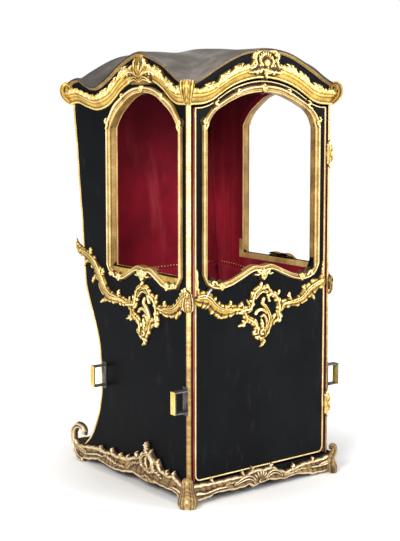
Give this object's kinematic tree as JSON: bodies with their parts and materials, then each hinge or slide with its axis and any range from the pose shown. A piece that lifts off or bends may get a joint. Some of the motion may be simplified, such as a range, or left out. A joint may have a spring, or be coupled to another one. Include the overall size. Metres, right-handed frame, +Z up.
{
  "type": "sedan chair",
  "caption": "Upright carried cabin with a serpentine domed roof, arched windows, a hinged front door, carved gilt mouldings, a velvet lined seat and side loops for carrying poles.",
  "frame": {"origin": "on the floor, at the middle of the bounding box", "axes": "+Z up; the door faces -Y, the back is towards +Y, and the door's hinges are on the +X side"},
  "size_m": [0.864, 0.942, 1.79],
  "materials": {
    "gilt": "satin",
    "aged_gilt": "satin",
    "lacquer": "gloss",
    "roof_leather": "satin",
    "wood": "matte",
    "velvet": "matte",
    "iron": "satin",
    "brass": "satin"
  },
  "bodies": {
    "cabin": {"floor_board": "wood", "front_sill": "lacquer", "base_rail_front": "aged_gilt", "base_rail_back": "aged_gilt", "base_rail_left": "aged_gilt", "base_rail_right": "aged_gilt", "base_corners": "aged_gilt", "front_post_left": "lacquer", "front_post_right": "lacquer", "front_bead_left": "gilt", "front_bead_right": "gilt", "back_post_left": "gilt", "back_post_right": "gilt", "side_panel_left": "lacquer", "side_panel_right": "lacquer", "back_panel": "lacquer", "cornice_front": "gilt", "cornice_back": "gilt", "cornice_left": "gilt", "cornice_right": "gilt", "cornice_scrolls": "gilt", "roof": "roof_leather", "window_frame_left": "gilt", "window_frame_right": "gilt", "inner_frame_left": "wood", "inner_frame_right": "wood", "waist_moulding_left": "gilt", "waist_moulding_right": "gilt", "waist_moulding_back": "gilt", "lining_left": "velvet", "lining_right": "velvet", "lining_back": "velvet", "lining_ceiling": "velvet", "arm_pad_left": "velvet", "arm_pad_right": "velvet", "back_pad": "velvet", "seat_riser": "velvet", "seat_board": "wood", "seat_cushion": "velvet", "pole_bracket_front_left": "iron", "pole_bracket_front_right": "iron", "pole_bracket_back_left": "iron", "pole_bracket_back_right": "iron", "hinge_post_leaves": "brass"},
    "door": {"door_panel": "lacquer", "door_bead": "gilt", "door_window_frame": "gilt", "door_waist_moulding": "gilt", "door_lining": "velvet", "door_handle": "brass", "hinge_door_leaves": "brass"}
  },
  "joints": [
    {"name": "door_swing", "type": "hinge", "parent": "cabin", "child": "door", "pos_m": [0.347, -0.4265, 0], "axis": [0, 0, 1], "range_deg": [0, 110]}
  ]
}
